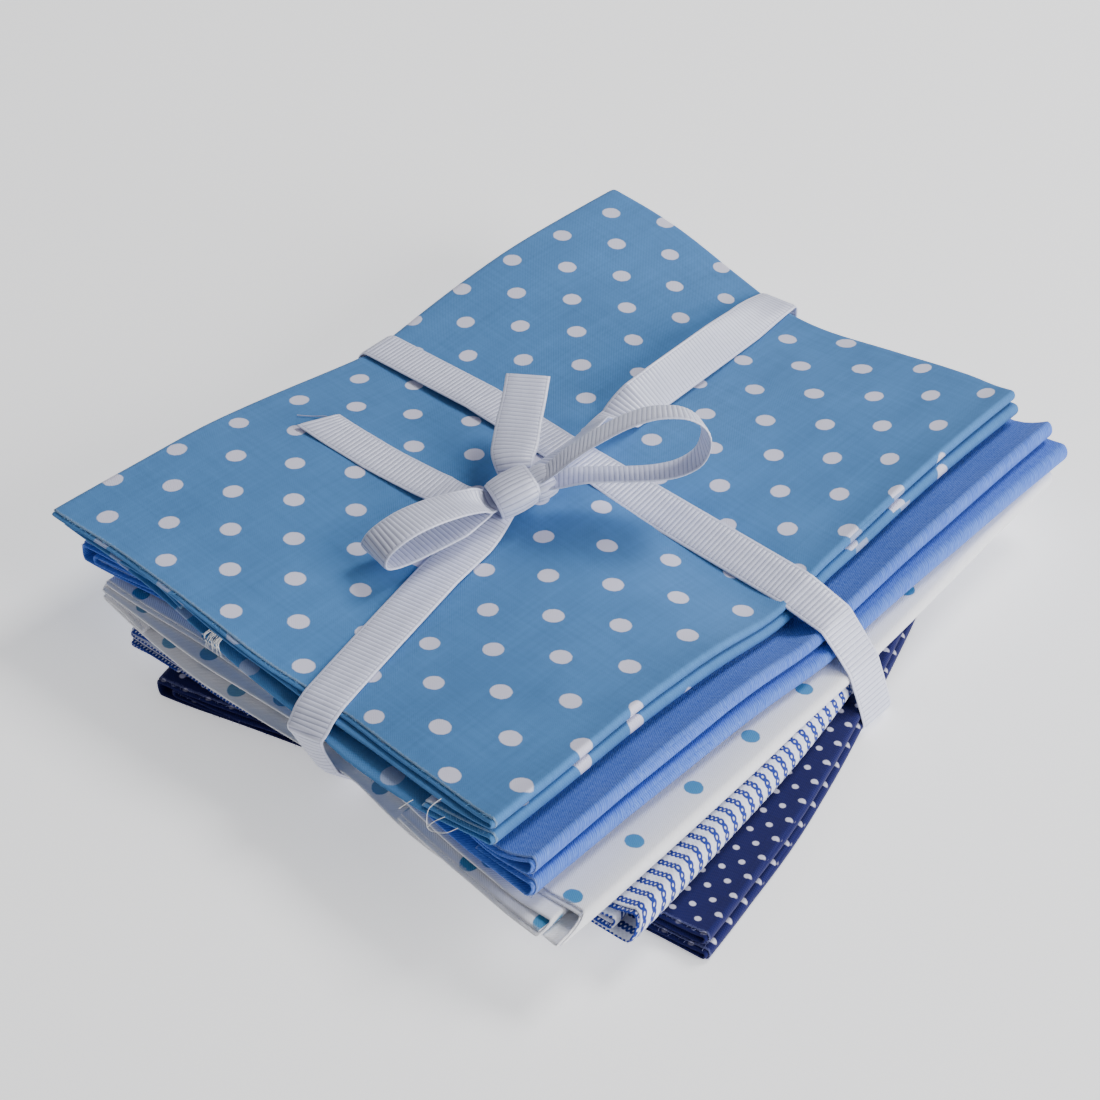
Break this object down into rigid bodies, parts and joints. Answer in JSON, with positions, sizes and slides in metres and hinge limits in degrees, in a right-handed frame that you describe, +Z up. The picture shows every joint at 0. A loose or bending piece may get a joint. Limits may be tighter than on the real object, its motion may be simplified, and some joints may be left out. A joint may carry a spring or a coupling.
{
  "type": "fat quarter bundle",
  "caption": "Folded quilting cottons fanned in a pile and tied crosswise with a ribbon and a bow.",
  "frame": {"origin": "on the surface, under the middle of the bundle's bounding box", "axes": "+X along the long side of the folded cloths, +Y along their short side, +Z up; the picture looks along +X and +Y together, down at the bow"},
  "size_m": [0.1977, 0.1928, 0.0563],
  "materials": {
    "cotton_navy_pin_dots": "matt woven cotton, navy with small white dots",
    "cotton_white_blue_stripes": "matt woven cotton, white with woven blue stripes of small rings",
    "cotton_white_blue_dots": "matt cotton twill, white with sky blue dots",
    "cotton_blue_chambray": "matt cotton twill of light and mid blue threads",
    "cotton_sky_dots": "matt woven cotton, sky blue with white dots",
    "grosgrain_ribbon": "soft sheen, fine cross ribs, smooth selvedges"
  },
  "bodies": {
    "root": {"cloth_navy_pin_dots": "cotton_navy_pin_dots", "cloth_white_blue_stripes": "cotton_white_blue_stripes", "cloth_white_blue_dots": "cotton_white_blue_dots", "cloth_blue_chambray": "cotton_blue_chambray", "cloth_sky_dots": "cotton_sky_dots", "tie_cross": "grosgrain_ribbon", "tie_long": "grosgrain_ribbon", "bow_knot": "grosgrain_ribbon", "bow_loop_left": "grosgrain_ribbon", "bow_loop_right": "grosgrain_ribbon", "bow_tail_raised": "grosgrain_ribbon", "bow_tail_lying": "grosgrain_ribbon"}
  },
  "joints": []
}
